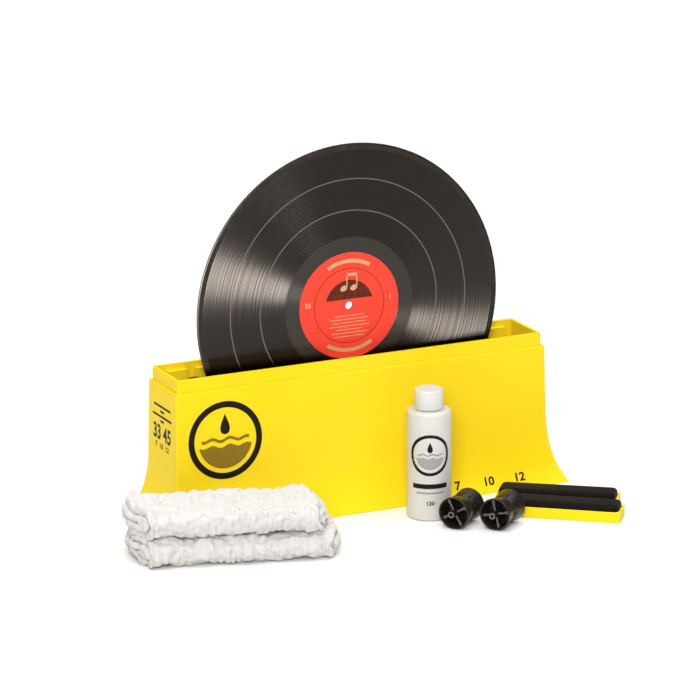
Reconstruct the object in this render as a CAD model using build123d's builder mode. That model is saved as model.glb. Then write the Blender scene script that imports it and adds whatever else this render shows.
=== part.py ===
from build123d import *

import os
from math import cos, radians, sin, sqrt

# A hand-turned record washer laid out as a set. Lengths are in millimetres. The origin is the
# centre of the basin's footprint on the table, +X runs along the basin, +Y to its back, +Z up.
# The front of the basin faces -Y.

# Record: a 12-inch disc that stands on edge in the basin
record_radius = 150.8
record_floor_room = 12.4
record_edge_thickness = 1.8
record_groove_thickness = 1.4
record_bead_width = 5.8
dead_wax_radius = 64.0
dead_wax_thickness = 1.6
label_radius = 50.0
label_thickness = 0.15
spindle_hole_radius = 3.62

# Basin: a thin collar for the lid, near-vertical sides and a flared skirt
basin_height = 142.0
basin_wall = 3.0
collar_height = 12.4
ledge_width = 2.5
side_draft = 1.6
flare_top_height = 62.0
foot_lip_height = 1.0
foot_reach = 19.9
flare_upper_arm = 24.4
flare_lower_arm = (10.4, 15.2)
trough_floor_height = 20.0
trough_end_room = 17.35
trough_corner_radius = 4.0
collar_corner_radius = 1.6
rim_edge_radius = 0.6

# Guide panels: they line the long walls, with slots for the rollers and rails for the brushes
panel_thickness = 6.2
panel_end_gap = 8.75
panel_top_drop = 5.0
slot_mouth_width = 8.8
rail_thickness = 2.4
rail_lip_thickness = 2.0

# Rollers: two cup-shaped halves joined back to back, with a groove for the record's edge
roller_flange_radius = 14.9
roller_waist_radius = 12.6
roller_groove_radius = 11.2
roller_wall = 1.5
roller_web_thickness = 2.0
roller_hub_bore_radius = 1.5
roller_rib_count = 4
roller_rib_thickness = 1.6
roller_rib_drop = 2.5
roller_rib_pad_radius = 1.5
roller_rib_pad_inset = 2.2
journal_radius = 3.0
journal_length = 5.5
axle_height = 115.5
first_ribs = {"left": 45.0, "right": 20.0, "near_spare": 61.0, "far_spare": 77.0}

# Brushes: a velvet pad on a plain holder
holder_length = 112.0
holder_width = 26.7
holder_thickness = 10.2
holder_edge_chamfer = 0.5
brush_seat_thickness = 2.6
pad_height = 5.8
pad_end_margin = 2.0
pad_side_margin = 1.3
pad_end_radius = 5.0
pad_top_radius = 4.0
pad_recess_depth = 1.0

# Fluid bottle and its cap
bottle_radius = 20.25
bottle_body_height = 101.4
bottle_wall = 1.2
bottle_shoulder_radius = 5.0
bottle_base_radius = 2.5
neck_radius = 10.5
cap_height = 18.0
cap_wall = 2.1
cap_top_thickness = 1.6
cap_edge_radius = 1.0
liner_thickness = 1.0

# Folded cloths
cloth_length = 184.0
cloth_depth = 73.0
cloth_thickness = 25.0
cloth_end_trim = 13.0
cloth_edge_radius = 10.0
cloth_corner_radius = 12.0

# Clearances
edge_clearance = 0.3  # record's edge to the bottom of the roller's groove
groove_clearance = 0.4  # record's faces to the sides of the groove
roller_end_clearance = 3.2  # roller's ends to the guide panels
journal_clearance = 0.08  # roller's journal in its slot, on the radius
brush_side_clearance = 0.35  # holder between its rails
brush_back_clearance = 0.2  # holder to the seat behind it
pad_record_clearance = 0.3  # velvet to the record's bead
pad_recess_clearance = 0.2  # pad's side in the holder's recess
cap_neck_clearance = 0.4  # cap's bore round the neck
cap_shoulder_clearance = 0.6  # cap's rim above the bottle's shoulder
liner_clearance = 0.3  # liner above the neck's mouth
cloth_clearance = 0.3  # between the two cloths

# Where the loose pieces lie on the table: (x, y) and the turn from +X in degrees
bottle_place = (41.0, -81.0)
loose_roller_place = (55.3, -118.2)
loose_roller_turn = 37.5
loose_roller_gap = 4.8
loose_roller_stagger = 12.8
loose_brush_places = {"near": ((147.6, -136.2), -38.6), "far": ((161.3, -104.3), -37.0)}
cloth_place = (-165.0, -101.8)
cloth_turn = -15.5

# Sizes worked out from those above
ledge_height = basin_height - collar_height
roller_groove_width = record_edge_thickness + 2 * groove_clearance
record_centre_height = trough_floor_height + record_floor_room + record_radius
record_rise = record_centre_height - axle_height
record_to_axle = record_radius + edge_clearance + roller_groove_radius
roller_offset = sqrt(record_to_axle**2 - record_rise**2)
trough_half_length = roller_offset + roller_flange_radius + trough_end_room
pad_face = record_edge_thickness / 2 + pad_record_clearance
holder_back = pad_face + pad_height + holder_thickness
panel_half_gap = holder_back + brush_back_clearance + brush_seat_thickness
roller_half_length = panel_half_gap - roller_end_clearance
trough_half_width = panel_half_gap + panel_thickness
rim_length = 2 * (trough_half_length + basin_wall)
rim_width = 2 * (trough_half_width + basin_wall)
panel_top_height = basin_height - panel_top_drop
panel_half_length = trough_half_length - panel_end_gap
pad_length = holder_length - 2 * pad_end_margin
pad_width = holder_width - 2 * pad_side_margin
cap_radius = neck_radius + cap_neck_clearance + cap_wall
cap_base_height = bottle_body_height + cap_shoulder_clearance
cap_top_height = cap_base_height + cap_height
liner_top = cap_top_height - cap_top_thickness
liner_base = liner_top - liner_thickness
neck_top = liner_base - liner_clearance

# Records of the three common sizes all turn about the same centre, so that the label stays dry,
# and each size has its own pair of slots.
record_sizes = {"twelve": record_radius, "ten": 127.0, "seven": 88.9}
slot_offsets = [
    sqrt((radius + edge_clearance + roller_groove_radius) ** 2 - record_rise**2)
    for radius in record_sizes.values()
]

os.makedirs("parts", exist_ok=True)


def save(piece, label):
    """Name a finished piece and write it as its own STEP file."""
    piece.part.label = label
    export_step(piece.part, f"parts/{label}.step")


# Basin shell ---------------------------------------------------------------------------------


def basin_section(plane, half_span, inset=0.0):
    """The basin's outline across one horizontal direction, filled; inset thins it for a cavity."""
    rim = half_span - inset
    step = rim + ledge_width
    flare_start = step + side_draft
    draft_slope = side_draft / (ledge_height - flare_top_height)
    foot = rim + foot_reach
    arm_run, arm_rise = flare_lower_arm
    with BuildSketch(plane) as section:
        with BuildLine():
            Polyline(
                (0, basin_height),
                (rim, basin_height),
                (rim, ledge_height),
                (step, ledge_height),
                (flare_start, flare_top_height),
            )
            Bezier(
                (flare_start, flare_top_height),
                (flare_start + draft_slope * flare_upper_arm, flare_top_height - flare_upper_arm),
                (foot - arm_run, foot_lip_height + arm_rise),
                (foot, foot_lip_height),
            )
            Polyline((foot, foot_lip_height), (foot, 0), (0, 0))
            mirror(about=Plane.YZ)
        make_face()
    return section.sketch


# The hollow between the skirt and the trough, open at the table
with BuildPart() as skirt_hollow:
    extrude(basin_section(Plane.XZ, rim_length / 2, basin_wall), amount=rim_width, both=True)
    extrude(
        basin_section(Plane.YZ, rim_width / 2, basin_wall),
        amount=rim_length,
        both=True,
        mode=Mode.INTERSECT,
    )
    with BuildSketch(Plane.XY.offset(trough_floor_height - basin_wall)):
        Rectangle(rim_length, rim_width)
    extrude(amount=basin_height, mode=Mode.SUBTRACT)
    with BuildSketch(Plane.XY.offset(flare_top_height)):
        Rectangle(2 * rim_length, 2 * rim_width)
    extrude(amount=basin_height, mode=Mode.SUBTRACT)

with BuildPart() as basin_shell:
    extrude(basin_section(Plane.XZ, rim_length / 2), amount=rim_width, both=True)
    extrude(
        basin_section(Plane.YZ, rim_width / 2),
        amount=rim_length,
        both=True,
        mode=Mode.INTERSECT,
    )
    collar_corners = basin_shell.edges().filter_by(Axis.Z).group_by(Axis.Z)[-1]
    fillet(collar_corners, radius=collar_corner_radius)
    with BuildSketch(Plane.XY.offset(trough_floor_height)):
        RectangleRounded(2 * trough_half_length, 2 * trough_half_width, trough_corner_radius)
    extrude(amount=basin_height, mode=Mode.SUBTRACT)
    rim_edges = basin_shell.faces().sort_by(Axis.Z)[-1].edges()
    fillet(rim_edges, radius=rim_edge_radius)
    add(skirt_hollow.part, mode=Mode.SUBTRACT)

save(basin_shell, "basin_shell")


# Guide panels --------------------------------------------------------------------------------


def guide_panel(side):
    """One slotted panel with a brush's seat and rails; side is -1 for the front, 1 for the rear."""
    face = Plane(origin=(0, side * panel_half_gap, 0), x_dir=(-side, 0, 0), z_dir=(0, side, 0))
    seat_radius = journal_radius + journal_clearance
    rail_start = holder_width / 2 + brush_side_clearance
    rail_stop = rail_start + rail_thickness
    lip_edge = pad_width / 2 + brush_side_clearance
    seat_face = panel_half_gap - brush_seat_thickness
    lip_back = holder_back - holder_thickness - brush_side_clearance
    lip_face = lip_back - rail_lip_thickness
    with BuildPart() as panel:
        with BuildSketch(face):
            with Locations((0, (trough_floor_height + panel_top_height) / 2)):
                Rectangle(2 * panel_half_length, panel_top_height - trough_floor_height)
            for offset in slot_offsets:
                for x in (-offset, offset):
                    with Locations((x, axle_height)):
                        Circle(seat_radius, mode=Mode.SUBTRACT)
                    with BuildLine():
                        Polyline(
                            (x - seat_radius, axle_height),
                            (x - slot_mouth_width / 2, panel_top_height),
                            (x + slot_mouth_width / 2, panel_top_height),
                            (x + seat_radius, axle_height),
                            close=True,
                        )
                    make_face(mode=Mode.SUBTRACT)
        extrude(amount=panel_thickness)
        with BuildSketch(Plane.XY.offset(trough_floor_height)):
            with BuildLine():
                Polyline(
                    (0, side * seat_face),
                    (rail_start, side * seat_face),
                    (rail_start, side * lip_back),
                    (lip_edge, side * lip_back),
                    (lip_edge, side * lip_face),
                    (rail_stop, side * lip_face),
                    (rail_stop, side * panel_half_gap),
                    (0, side * panel_half_gap),
                )
                mirror(about=Plane.YZ)
            make_face()
        extrude(amount=panel_top_height - trough_floor_height)
    return panel


save(guide_panel(-1), "guide_panel_front")
save(guide_panel(1), "guide_panel_rear")


# Record and labels ---------------------------------------------------------------------------

record_centre = (0, 0, record_centre_height)
record_axis = Axis(record_centre, (0, 1, 0))
record_plane = Plane(origin=record_centre, x_dir=(1, 0, 0), z_dir=(0, 0, 1))

with BuildPart() as record:
    label_seat = record_edge_thickness / 2 - label_thickness
    edge_half = record_edge_thickness / 2
    with BuildSketch(record_plane):
        with BuildLine():
            Polyline(
                (spindle_hole_radius, 0),
                (spindle_hole_radius, label_seat),
                (label_radius, label_seat),
                (label_radius, edge_half),
                (dead_wax_radius, dead_wax_thickness / 2),
                (dead_wax_radius + record_bead_width, record_groove_thickness / 2),
                (record_radius - record_bead_width, record_groove_thickness / 2),
                (record_radius - edge_half, edge_half),
            )
            RadiusArc((record_radius - edge_half, edge_half), (record_radius, 0), edge_half)
            mirror(about=Plane.XZ)
        make_face()
    revolve(axis=record_axis)

save(record, "record")


def record_label(side):
    """A paper label pressed into the face of the record; side is -1 for the front face."""
    seat = record_edge_thickness / 2 - label_thickness
    face = Plane(
        origin=(0, side * seat, record_centre_height),
        x_dir=(-side, 0, 0),
        z_dir=(0, side, 0),
    )
    with BuildPart() as label:
        with BuildSketch(face):
            Circle(label_radius)
            Circle(spindle_hole_radius, mode=Mode.SUBTRACT)
        extrude(amount=label_thickness)
    return label


save(record_label(-1), "record_label_front")
save(record_label(1), "record_label_rear")


# Rollers -------------------------------------------------------------------------------------


def wall_radius(along):
    """Inside radius of a roller cup at a distance along the axis from the seam."""
    taper = (roller_flange_radius - roller_waist_radius) / roller_half_length
    return roller_waist_radius + taper * along - roller_wall


def roller_half(centre, axis, first_rib):
    """One cup of a roller. Its seam is at the centre and its open end faces along the axis."""
    up = (0, 0, 1)
    section_plane = Plane(origin=centre, x_dir=up, z_dir=Vector(*up).cross(Vector(*axis)))
    groove_half = roller_groove_width / 2
    waist_start = groove_half + roller_waist_radius - roller_groove_radius
    rib_top = roller_half_length - roller_rib_drop
    with BuildPart() as half:
        with BuildSketch(section_plane):
            with BuildLine():
                Polyline(
                    (roller_hub_bore_radius, 0),
                    (roller_groove_radius, 0),
                    (roller_groove_radius, groove_half),
                    (roller_waist_radius, waist_start),
                    (roller_flange_radius, roller_half_length),
                    (wall_radius(roller_half_length), roller_half_length),
                    (wall_radius(roller_web_thickness), roller_web_thickness),
                    (journal_radius, roller_web_thickness),
                    (journal_radius, roller_half_length + journal_length),
                    (roller_hub_bore_radius, roller_half_length + journal_length),
                    close=True,
                )
            make_face()
        revolve(axis=Axis(centre, axis))
        for number in range(roller_rib_count):
            turn = radians(first_rib + number * 360 / roller_rib_count)
            level = Vector(*up).cross(Vector(*axis))
            out = Vector(*up) * cos(turn) + level * sin(turn)
            rib_plane = Plane(origin=centre, x_dir=out, z_dir=out.cross(Vector(*axis)))
            with BuildSketch(rib_plane):
                with BuildLine():
                    Polyline(
                        (journal_radius - roller_wall / 2, roller_web_thickness),
                        (wall_radius(roller_web_thickness) + roller_wall / 2, roller_web_thickness),
                        (wall_radius(rib_top) + roller_wall / 2, rib_top),
                        (journal_radius - roller_wall / 2, rib_top),
                        close=True,
                    )
                make_face()
            extrude(amount=roller_rib_thickness / 2, both=True)
            pad_centre = Vector(*centre) + out * (wall_radius(rib_top) - roller_rib_pad_inset)
            pad_plane = Plane(origin=pad_centre, x_dir=out, z_dir=axis).offset(roller_web_thickness)
            with BuildSketch(pad_plane):
                Circle(roller_rib_pad_radius)
            extrude(amount=rib_top - roller_web_thickness)
    return half


def roller(name, centre, turn, first_rib):
    """Both halves of a roller whose axis is level and turned from +X by an angle in degrees."""
    axis = Vector(cos(radians(turn)), sin(radians(turn)), 0)
    save(roller_half(centre, -axis, first_rib), f"{name}_front_half")
    save(roller_half(centre, axis, first_rib), f"{name}_rear_half")


roller("left_roller", (-roller_offset, 0, axle_height), 90, first_ribs["left"])
roller("right_roller", (roller_offset, 0, axle_height), 90, first_ribs["right"])

loose_axis = Vector(cos(radians(loose_roller_turn)), sin(radians(loose_roller_turn)), 0)
loose_spacing = 2 * roller_flange_radius + loose_roller_gap
near_centre = Vector(*loose_roller_place, roller_flange_radius)
far_centre = near_centre + loose_axis * loose_roller_stagger
far_centre += loose_axis.cross(Vector(0, 0, 1)) * loose_spacing
roller("spare_roller_1", near_centre, loose_roller_turn, first_ribs["near_spare"])
roller("spare_roller_2", far_centre, loose_roller_turn, first_ribs["far_spare"])


# Brushes -------------------------------------------------------------------------------------


def brush_holder(seat):
    """A brush holder on a plane that lies on its back, with the plane's x along the holder."""
    with BuildPart() as holder:
        with BuildSketch(seat):
            Rectangle(holder_length, holder_width)
        extrude(amount=holder_thickness)
        top = holder.faces().sort_by(Axis(seat.origin, seat.z_dir))[-1]
        chamfer(top.edges(), length=holder_edge_chamfer)
        with BuildSketch(seat.offset(holder_thickness)):
            RectangleRounded(
                pad_length + 2 * pad_recess_clearance,
                pad_width + 2 * pad_recess_clearance,
                pad_end_radius,
            )
        extrude(amount=-pad_recess_depth, mode=Mode.SUBTRACT)
    return holder


def brush_pad(seat):
    """The velvet pad that stands in the recess of a holder on the same plane."""
    with BuildPart() as pad:
        with BuildSketch(seat.offset(holder_thickness - pad_recess_depth)):
            RectangleRounded(pad_length, pad_width, pad_end_radius)
        extrude(amount=pad_recess_depth + pad_height)
        top = pad.faces().sort_by(Axis(seat.origin, seat.z_dir))[-1]
        fillet(top.edges(), radius=pad_top_radius)
    return pad


def brush(name, seat):
    """A holder and its pad."""
    save(brush_holder(seat), f"{name}_holder")
    save(brush_pad(seat), f"{name}_pad")


holder_centre_height = trough_floor_height + holder_length / 2
for name, side in (("front_brush", -1), ("rear_brush", 1)):
    back_centre = (0, side * holder_back, holder_centre_height)
    brush(name, Plane(origin=back_centre, x_dir=(0, 0, 1), z_dir=(0, -side, 0)))

for number, ((x, y), turn) in enumerate(loose_brush_places.values(), start=1):
    along = (cos(radians(turn)), sin(radians(turn)), 0)
    brush(f"spare_brush_{number}", Plane(origin=(x, y, 0), x_dir=along, z_dir=(0, 0, 1)))


# Bottle and cap ------------------------------------------------------------------------------

bottle_axis = Axis((*bottle_place, 0), (0, 0, 1))
bottle_plane = Plane(origin=(*bottle_place, 0), x_dir=(1, 0, 0), z_dir=(0, -1, 0))
neck_bore_radius = neck_radius - 1.5 * bottle_wall

with BuildPart() as bottle:
    with BuildSketch(bottle_plane):
        with BuildLine():
            Polyline(
                (0, 0),
                (bottle_radius, 0),
                (bottle_radius, bottle_body_height),
                (neck_radius, bottle_body_height),
                (neck_radius, neck_top),
                (neck_bore_radius, neck_top),
                (neck_bore_radius, bottle_body_height - bottle_wall),
                (bottle_radius - bottle_wall, bottle_body_height - bottle_wall),
                (bottle_radius - bottle_wall, bottle_wall),
                (0, bottle_wall),
                close=True,
            )
        make_face()
    revolve(axis=bottle_axis)
    fillet(bottle.faces().sort_by(Axis.Z)[0].edges(), radius=bottle_base_radius)
    body_top = bottle.faces().filter_by(Plane.XY).sort_by(Axis.Z)[-2]
    fillet(body_top.edges().sort_by(SortBy.RADIUS)[-1], radius=bottle_shoulder_radius)

save(bottle, "bottle")

cap_bore_radius = neck_radius + cap_neck_clearance
cap_plane = Plane(origin=(*bottle_place, cap_base_height), x_dir=(1, 0, 0), z_dir=(0, -1, 0))

with BuildPart() as bottle_cap:
    with BuildSketch(cap_plane):
        with BuildLine():
            Polyline(
                (0, cap_height),
                (cap_radius, cap_height),
                (cap_radius, 0),
                (cap_bore_radius, 0),
                (cap_bore_radius, cap_height - cap_top_thickness),
                (0, cap_height - cap_top_thickness),
                close=True,
            )
        make_face()
    revolve(axis=bottle_axis)
    cap_rim = bottle_cap.faces().sort_by(Axis.Z)[-1].edges()
    fillet(cap_rim, radius=cap_edge_radius)

save(bottle_cap, "bottle_cap")

with BuildPart() as cap_liner:
    with BuildSketch(Plane(origin=(*bottle_place, liner_base))):
        Circle(cap_bore_radius)
    extrude(amount=liner_thickness)

save(cap_liner, "cap_liner")


# Cloths --------------------------------------------------------------------------------------


def folded_cloth(base_height, end_trim):
    """The outer shape of a folded cloth that lies flat, trimmed at its right end."""
    length = cloth_length - end_trim
    along = Vector(cos(radians(cloth_turn)), sin(radians(cloth_turn)), 0)
    middle = Vector(*cloth_place, base_height) - along * end_trim / 2
    seat = Plane(origin=middle, x_dir=along, z_dir=(0, 0, 1))
    with BuildPart() as cloth:
        with BuildSketch(seat):
            RectangleRounded(length, cloth_depth, cloth_corner_radius)
        extrude(amount=cloth_thickness)
        flat_faces = cloth.faces().sort_by(Axis.Z)
        fillet(flat_faces[0].edges() + flat_faces[-1].edges(), radius=cloth_edge_radius)
    return cloth


save(folded_cloth(0, 0), "cloth_lower")
save(folded_cloth(cloth_thickness + cloth_clearance, cloth_end_trim), "cloth_upper")
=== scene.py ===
from math import acos, atan2, cos, copysign, degrees, pi, radians, sin, sqrt

import bmesh
import bpy
from mathutils import Matrix, Vector, noise
from mathutils.bvhtree import BVHTree
from mathutils.geometry import interpolate_bezier


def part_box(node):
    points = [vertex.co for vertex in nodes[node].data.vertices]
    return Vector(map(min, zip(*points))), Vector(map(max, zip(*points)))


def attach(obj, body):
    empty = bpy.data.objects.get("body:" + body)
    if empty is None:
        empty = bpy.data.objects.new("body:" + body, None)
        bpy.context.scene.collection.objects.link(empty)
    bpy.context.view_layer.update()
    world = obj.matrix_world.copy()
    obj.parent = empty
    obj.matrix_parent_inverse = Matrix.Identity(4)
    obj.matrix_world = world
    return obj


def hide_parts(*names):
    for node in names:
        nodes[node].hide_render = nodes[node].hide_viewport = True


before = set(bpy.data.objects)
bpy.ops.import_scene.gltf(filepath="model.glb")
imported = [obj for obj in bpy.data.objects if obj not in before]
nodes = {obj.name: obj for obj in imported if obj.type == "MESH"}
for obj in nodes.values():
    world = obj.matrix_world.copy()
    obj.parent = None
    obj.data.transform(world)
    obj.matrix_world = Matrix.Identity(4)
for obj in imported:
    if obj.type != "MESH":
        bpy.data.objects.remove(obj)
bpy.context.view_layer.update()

# Washing basin --------------------------------------------------------------------------------
# One injection moulding in glossy yellow ABS: a narrow trough inside a tall tapering skirt that
# flares out to a wide foot. A thin collar stands round its top for the dust lid. The skirt is
# hollow underneath, and every corner is rounded where the mould was.

basin_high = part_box("basin_shell")[1]
foot_reach = 0.0199
foot_lip = 0.001
basin_wall = 0.003
ledge_width = 0.0025
collar_height = 0.0124
flare_top = 0.062
side_draft = 0.0016
upper_flare_pull = Vector((0.00058, -0.0244))
lower_flare_pull = Vector((-0.0104, 0.0152))
trough_floor = 0.020
skirt_corner_round = 0.0016
trough_corner_round = 0.004
trough_floor_round = 0.003
rim_round = 0.0006
ledge_round = 0.0007
foot_round = 0.0004
hair = 0.0001
rim_half_length = basin_high.x - foot_reach
rim_half_width = basin_high.y - foot_reach
ledge_height = basin_high.z - collar_height
yellow = (0.84, 0.62, 0.018)
deep_yellow = (0.82, 0.585, 0.010)


def add_node(material, kind, inputs=None, **settings):
    """Put one shader node in a material, with its settings and its unlinked sockets."""
    made = material.node_tree.nodes.new(kind)
    for key, value in settings.items():
        setattr(made, key, value)
    for socket, value in (inputs or {}).items():
        made.inputs[socket].default_value = value
    return made


def new_finish(name, **sockets):
    """A material with its main shader and the piece's own coordinates, ready to be wired."""
    finish = bpy.data.materials.new(name)
    finish.use_nodes = True
    shader = finish.node_tree.nodes["Principled BSDF"]
    for socket, value in sockets.items():
        shader.inputs[socket.replace("_", " ")].default_value = value
    place = add_node(finish, "ShaderNodeTexCoord").outputs["Object"]
    return finish, shader, place


def wire(finish, source, target):
    finish.node_tree.links.new(source, target)


def speckle(finish, place, scale, detail=3.0, roughness=0.5):
    """Noise over the piece, as a value from 0 to 1; scale is in spots per metre."""
    spots = add_node(
        finish, "ShaderNodeTexNoise",
        {"Scale": scale, "Detail": detail, "Roughness": roughness},
    )
    wire(finish, place, spots.inputs["Vector"])
    return spots.outputs["Fac"]


def between(finish, value, low, high, start=0.3, stop=0.7):
    """Stretch a value so that start to stop becomes low to high."""
    stretch = add_node(
        finish, "ShaderNodeMapRange",
        {"From Min": start, "From Max": stop, "To Min": low, "To Max": high},
    )
    wire(finish, value, stretch.inputs["Value"])
    return stretch.outputs["Result"]


def tint(finish, value, first, second):
    """Blend from the first colour to the second as the value goes from 0 to 1."""
    mix = add_node(finish, "ShaderNodeMix", data_type="RGBA")
    mix.inputs["A"].default_value = (*first, 1)
    mix.inputs["B"].default_value = (*second, 1)
    wire(finish, value, mix.inputs["Factor"])
    return mix.outputs["Result"]


def paint(finish, shader, value, first, second):
    """Colour the finish from the first to the second as the value goes from 0 to 1."""
    wire(finish, tint(finish, value, first, second), shader.inputs["Base Color"])


def roughen(finish, shader, spots, low, high):
    """Let the roughness wander between low and high with the spots of some noise."""
    wire(finish, between(finish, spots, low, high), shader.inputs["Roughness"])


def relief(finish, shader, height, depth, strength=1.0):
    """Turn a height from 0 to 1 into fine surface relief, depth metres from lowest to highest."""
    bump = add_node(finish, "ShaderNodeBump", {"Distance": depth, "Strength": strength})
    wire(finish, height, bump.inputs["Height"])
    wire(finish, bump.outputs["Normal"], shader.inputs["Normal"])


def yellow_plastic(name, gloss):
    """Moulded yellow ABS with faint flow marks, a slight orange peel and uneven gloss."""
    finish, shader, place = new_finish(name, Specular_IOR_Level=0.05)
    flow = speckle(finish, place, 9.0)
    paint(finish, shader, between(finish, flow, 0, 1), yellow, deep_yellow)
    scuffs = speckle(finish, place, 160.0, 6.0, 0.65)
    roughen(finish, shader, scuffs, gloss, gloss + 0.12)
    relief(finish, shader, speckle(finish, place, 420.0, 2.0), 0.00002)
    return finish


def bevel(bm, geom, width, segments, affect="EDGES"):
    bmesh.ops.bevel(
        bm, geom=geom, offset=width, segments=segments, profile=0.5,
        affect=affect, material=-1, clamp_overlap=True,
    )


def round_edges(bm, width, segments, where=None):
    """Round a mesh's hard edges, or those square ones that where picks by their middle point."""
    hard_angle = radians(60 if where else 30)
    hard = []
    for edge in bm.edges:
        if not edge.is_manifold or edge.calc_face_angle() < hard_angle:
            continue
        if where is None or where((edge.verts[0].co + edge.verts[1].co) / 2):
            hard.append(edge)
    bevel(bm, hard, width, segments)


def set_down(bm, name, body, finish, stands_for=(), sharp=40.0):
    """Make the shaped mesh a smooth-shaded piece that rides on its body."""
    bmesh.ops.recalc_face_normals(bm, faces=bm.faces)
    mesh = bpy.data.meshes.new(name)
    bm.to_mesh(mesh)
    bm.free()
    mesh.shade_smooth()
    mesh.set_sharp_from_angle(angle=radians(sharp))
    mesh.materials.append(finish)
    piece = bpy.data.objects.new(name, mesh)
    bpy.context.scene.collection.objects.link(piece)
    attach(piece, body)
    if stands_for:
        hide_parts(*stands_for)
    return piece


def even_shading(piece):
    """Keep the flat faces flat and put the shading of the rounded edges on the edges alone."""
    weights = piece.modifiers.new("flat_faces", "WEIGHTED_NORMAL")
    weights.keep_sharp = True


def new_verts(made):
    """The vertices among what an operator has made."""
    return [item for item in made if isinstance(item, bmesh.types.BMVert)]


def draw_basin_ring(bm, ring, offset, height):
    """Draw the wall on to a new ring, at an offset out from the rim's outer face."""
    corners = set(new_verts(bmesh.ops.extrude_edge_only(bm, edges=ring)["geom"]))
    for corner in corners:
        corner.co.x = copysign(rim_half_length + offset, corner.co.x)
        corner.co.y = copysign(rim_half_width + offset, corner.co.y)
        corner.co.z = height
    return [edge for edge in bm.edges if set(edge.verts) <= corners]


def skirt_curve(inset):
    """The flare of the skirt from its top to the foot, as (offset, height) points."""
    top = Vector((ledge_width + side_draft - inset, flare_top))
    upper = top + upper_flare_pull
    foot = Vector((foot_reach - inset, foot_lip))
    lower = foot + lower_flare_pull
    return [tuple(point) for point in interpolate_bezier(top, upper, lower, foot, 16)]


basin = bmesh.new()
underside = bmesh.ops.create_grid(basin, x_segments=1, y_segments=1, size=1.0)["verts"]
for corner in underside:
    corner.co = (
        copysign(rim_half_length, corner.co.x),
        copysign(rim_half_width, corner.co.y),
        trough_floor - basin_wall,
    )
inner_skirt = skirt_curve(basin_wall)
outer_skirt = skirt_curve(0.0)
basin_path = [(0.0, flare_top), *inner_skirt, (foot_reach - basin_wall, 0.0), (foot_reach, 0.0)]
basin_path += [*reversed(outer_skirt), (ledge_width, ledge_height), (0.0, ledge_height)]
basin_path += [(0.0, basin_high.z), (-basin_wall, basin_high.z), (-basin_wall, trough_floor)]
ring = list(basin.edges)
for offset, height in basin_path:
    ring = draw_basin_ring(basin, ring, offset, height)
bmesh.ops.edgeloop_fill(basin, edges=ring)
bmesh.ops.recalc_face_normals(basin, faces=basin.faces)


def basin_corners(inner, above):
    """The upright edges at the basin's four corners, on its outside or inside its trough."""
    found = []
    for edge in basin.edges:
        first, second = (vert.co for vert in edge.verts)
        middle = (first + second) / 2
        inside = abs(middle.y) < rim_half_width - basin_wall / 2
        level = abs(first.z - second.z) < 1e-6
        if not level and inside == inner and middle.z > above:
            found.append(edge)
    return found


outer_skin = []
for edge in basin_corners(False, 0.0):
    facing = sum((face.normal for face in edge.link_faces), Vector())
    corner = edge.verts[0].co
    if facing.x * corner.x + facing.y * corner.y > 0:
        outer_skin.append(edge)
bevel(basin, outer_skin, skirt_corner_round, 4)
bevel(basin, basin_corners(True, trough_floor), trough_corner_round, 6)
round_edges(basin, rim_round, 3, lambda at: at.z > basin_high.z - hair)
round_edges(basin, ledge_round, 3, lambda at: abs(at.z - ledge_height) < hair and (
    abs(at.y) > rim_half_width + ledge_width / 2 or abs(at.x) > rim_half_length + ledge_width / 2
))
round_edges(basin, foot_round, 2, lambda at: at.z < hair)
round_edges(basin, trough_floor_round, 4, lambda at: abs(at.z - trough_floor) < hair)

basin_finish = yellow_plastic("basin_plastic", 0.27)
basin_skin = BVHTree.FromBMesh(basin)
basin_piece = set_down(
    basin, "basin_moulding", "washer_basin", basin_finish, ["basin_shell"],
)
even_shading(basin_piece)

# Basin prints ---------------------------------------------------------------------------------
# Pad-printed marks in black and olive ink: a round mark with a water drop over a wavy surface,
# the sizes of record that fit, and a stack of plain lines and speeds on the left end.

ink_film = 0.00005
mark_centre = Vector((-0.1387, -0.12, 0.0826))
mark_radius = 0.036
mark_ring_width = 0.0058
mark_drop_height = 0.0195
mark_drop_rise = Vector((0, 0, 0.0150))
pool_radius = 0.0262
pool_level = -0.0052
ripple_level = 0.0006
ripple_width = 0.0030
sizes_height = 0.0102
rearwards = Vector((0, 1, 0))


def print_ink(name, colour, wear):
    """Semi-gloss ink with a little unevenness in its film."""
    finish, shader, place = new_finish(name, Specular_IOR_Level=0.08)
    film = speckle(finish, place, 700.0, 4.0)
    paint(finish, shader, between(finish, film, 0, 1), colour, wear)
    roughen(finish, shader, film, 0.34, 0.5)
    return finish


def print_on_basin(bm, name, ink, towards):
    """Press a flat print onto the side of the basin that it faces."""
    for vert in bm.verts:
        spot = basin_skin.ray_cast(vert.co, towards)[0]
        vert.co = spot - towards * ink_film
    set_down(bm, name, "washer_basin", ink)


def stand_up(bm, verts):
    """Tip flat vertices from the XY plane up into the XZ plane."""
    bmesh.ops.rotate(bm, matrix=Matrix.Rotation(pi / 2, 3, "X"), verts=verts)


def add_band(bm, length, height, place, rows=1, columns=24):
    """A straight band of ink, standing in the XZ plane, ready to be bent or pressed on."""
    made = bmesh.ops.create_grid(bm, x_segments=columns, y_segments=rows, size=0.5)["verts"]
    bmesh.ops.scale(bm, vec=(length, height, 1), verts=made)
    stand_up(bm, made)
    bmesh.ops.translate(bm, vec=place, verts=made)
    return made


def widen_inwards(bm, line, radius, width):
    """Turn vertices on a circle into a flat band that stands in the XZ plane."""
    edges = [edge for edge in bm.edges if edge.verts[0] in line and edge.verts[1] in line]
    made = bmesh.ops.extrude_edge_only(bm, edges=edges)["geom"]
    inner = new_verts(made)
    bmesh.ops.scale(bm, vec=((radius - width) / radius,) * 3, verts=inner)
    stand_up(bm, line + inner)
    return line + inner


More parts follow.
